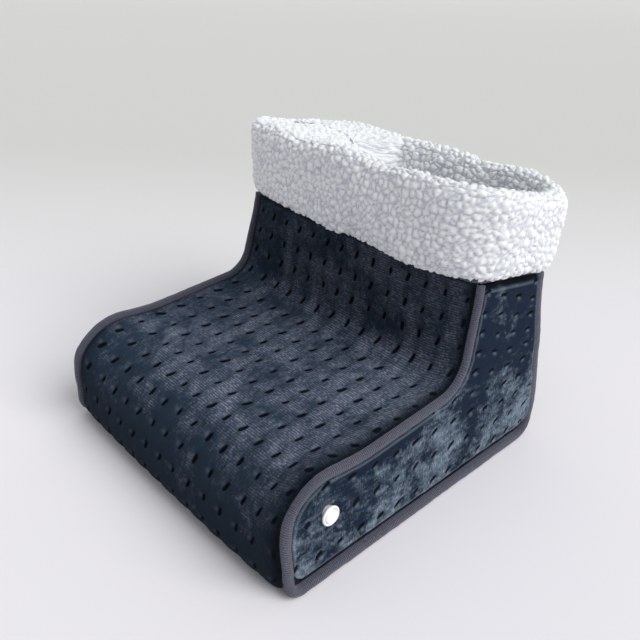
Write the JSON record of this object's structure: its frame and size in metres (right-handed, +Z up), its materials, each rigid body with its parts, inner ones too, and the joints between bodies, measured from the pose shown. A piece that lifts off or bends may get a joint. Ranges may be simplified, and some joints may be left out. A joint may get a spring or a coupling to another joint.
{
  "type": "electric foot warmer",
  "caption": "Boot-shaped heated foot warmer with a wide low toe, a short leg shaft with a thick fleece cuff, a push button on one side and a power inlet at the heel.",
  "frame": {"origin": "middle of the sole, at the floor", "axes": "+Z up, toe towards -Y, button on the +X side"},
  "size_m": [0.2958, 0.3255, 0.2532],
  "materials": {
    "plush": "dimpled charcoal blue velvet plush",
    "tape": "matte rib-knit tape",
    "fleece": "curly off-white fleece pile",
    "padding": "open-cell foam",
    "grip": "non-slip dotted fabric",
    "board": "pressed fibre insole board",
    "felt": "needled felt",
    "heater": "silicone-sheathed heating wire",
    "white_plastic": "satin white moulding",
    "dark_plastic": "matte black moulding",
    "circuit": "coated circuit board",
    "pin_metal": "plated pin"
  },
  "bodies": {
    "shoe": {"front_top_panel": "plush", "side_panel_right": "plush", "side_panel_left": "plush", "back_panel": "plush", "binding_right": "tape", "binding_left": "tape", "collar_binding": "tape", "sherpa_cuff": "fleece", "lining_front_top": "fleece", "lining_right": "fleece", "lining_left": "fleece", "lining_back": "fleece", "lining_sole": "fleece", "foam_front_top": "padding", "foam_right": "padding", "foam_left": "padding", "foam_back": "padding", "sole_foam": "padding", "sole_panel": "grip", "sole_board": "board", "heating_felt_lower": "felt", "heating_felt_upper": "felt", "heating_wire": "heater", "button_bezel": "white_plastic", "switch_housing": "dark_plastic", "tact_switch": "dark_plastic", "inlet_socket": "dark_plastic", "inlet_clip": "dark_plastic", "supply_lead": "dark_plastic", "thermostat": "dark_plastic", "circuit_board": "circuit", "inlet_pin_left": "pin_metal", "inlet_pin_right": "pin_metal", "thermal_fuse": "pin_metal"},
    "button": {"button_cap": "white_plastic", "switch_plunger": "white_plastic"}
  },
  "joints": [
    {"name": "button_press", "type": "slide", "parent": "shoe", "child": "button", "axis": [-0.9971, 0, -0.0759], "range_m": [0, 0.001], "stiffness_N_per_m": 1500}
  ]
}
